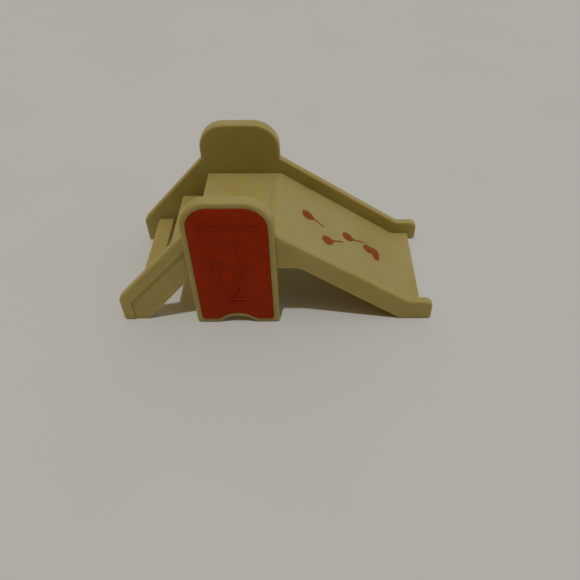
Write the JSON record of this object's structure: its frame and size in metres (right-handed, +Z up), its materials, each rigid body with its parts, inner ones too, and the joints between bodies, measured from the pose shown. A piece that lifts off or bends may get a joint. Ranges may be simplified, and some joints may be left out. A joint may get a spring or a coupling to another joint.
{
  "type": "toy slide",
  "caption": "Small moulded toy slide: two side walls, open steps, a platform, a sloping bed with a run-out, and a red panel on each leg.",
  "frame": {"origin": "on the floor, under the middle of the toy's outer box", "axes": "+X from the stair end to the slide's foot, +Y from the front wall to the rear wall, +Z up"},
  "size_m": [0.08, 0.0378, 0.0378],
  "materials": {
    "cream_plastic": "satin moulded",
    "red_plastic": "satin moulded",
    "red_ink": "pad printed ink"
  },
  "bodies": {
    "root": {"front_side_wall": "cream_plastic", "rear_side_wall": "cream_plastic", "platform": "cream_plastic", "slide_bed": "cream_plastic", "lower_step": "cream_plastic", "upper_step": "cream_plastic", "front_red_panel": "red_plastic", "rear_red_panel": "red_plastic", "upper_balloon_print": "red_ink", "near_balloon_print": "red_ink", "far_balloon_print": "red_ink", "bow_print": "red_ink"}
  },
  "joints": []
}
